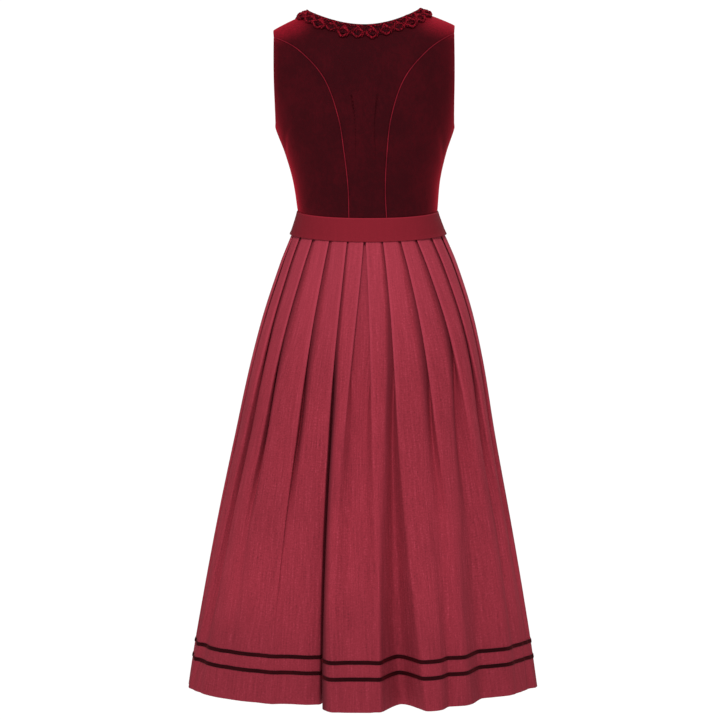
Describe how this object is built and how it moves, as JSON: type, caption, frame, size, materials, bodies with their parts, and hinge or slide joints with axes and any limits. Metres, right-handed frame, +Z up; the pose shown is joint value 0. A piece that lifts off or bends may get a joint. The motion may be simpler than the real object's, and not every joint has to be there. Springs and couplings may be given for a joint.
{
  "type": "dirndl dress",
  "caption": "Sleeveless dirndl with a velvet bodice, looped neck trim, smooth waistband and a long pleated skirt with two ribbons above the hem.",
  "frame": {"origin": "midway between the shoulders, at the height of the shoulder line, where the wearer's shoulders carry the dress", "axes": "+Z up along the body, the front of the dress faces -Y, +X to the wearer's left"},
  "size_m": [0.6431, 0.4269, 1.2454],
  "materials": {
    "velvet": "bordeaux cotton velvet with a bright sheen at its edges",
    "trim": "velvet piping, braid and a row of round velvet loops",
    "band": "smooth dark red satin-like woven band",
    "skirt": "raspberry red woven cloth with a fine vertical slub",
    "ribbon": "very dark red velvet ribbon"
  },
  "bodies": {
    "root": {"back_centre": "velvet", "back_side_left": "velvet", "back_side_right": "velvet", "front_side_left": "velvet", "front_side_right": "velvet", "front_centre_left": "velvet", "front_centre_right": "velvet", "back_piping_left": "trim", "back_piping_right": "trim", "neck_trim": "trim", "waistband": "band", "skirt_back": "skirt", "skirt_front_left": "skirt", "skirt_front_right": "skirt", "hem_ribbon_upper_back": "ribbon", "hem_ribbon_upper_front_left": "ribbon", "hem_ribbon_upper_front_right": "ribbon", "hem_ribbon_lower_back": "ribbon", "hem_ribbon_lower_front_left": "ribbon", "hem_ribbon_lower_front_right": "ribbon"}
  },
  "joints": []
}
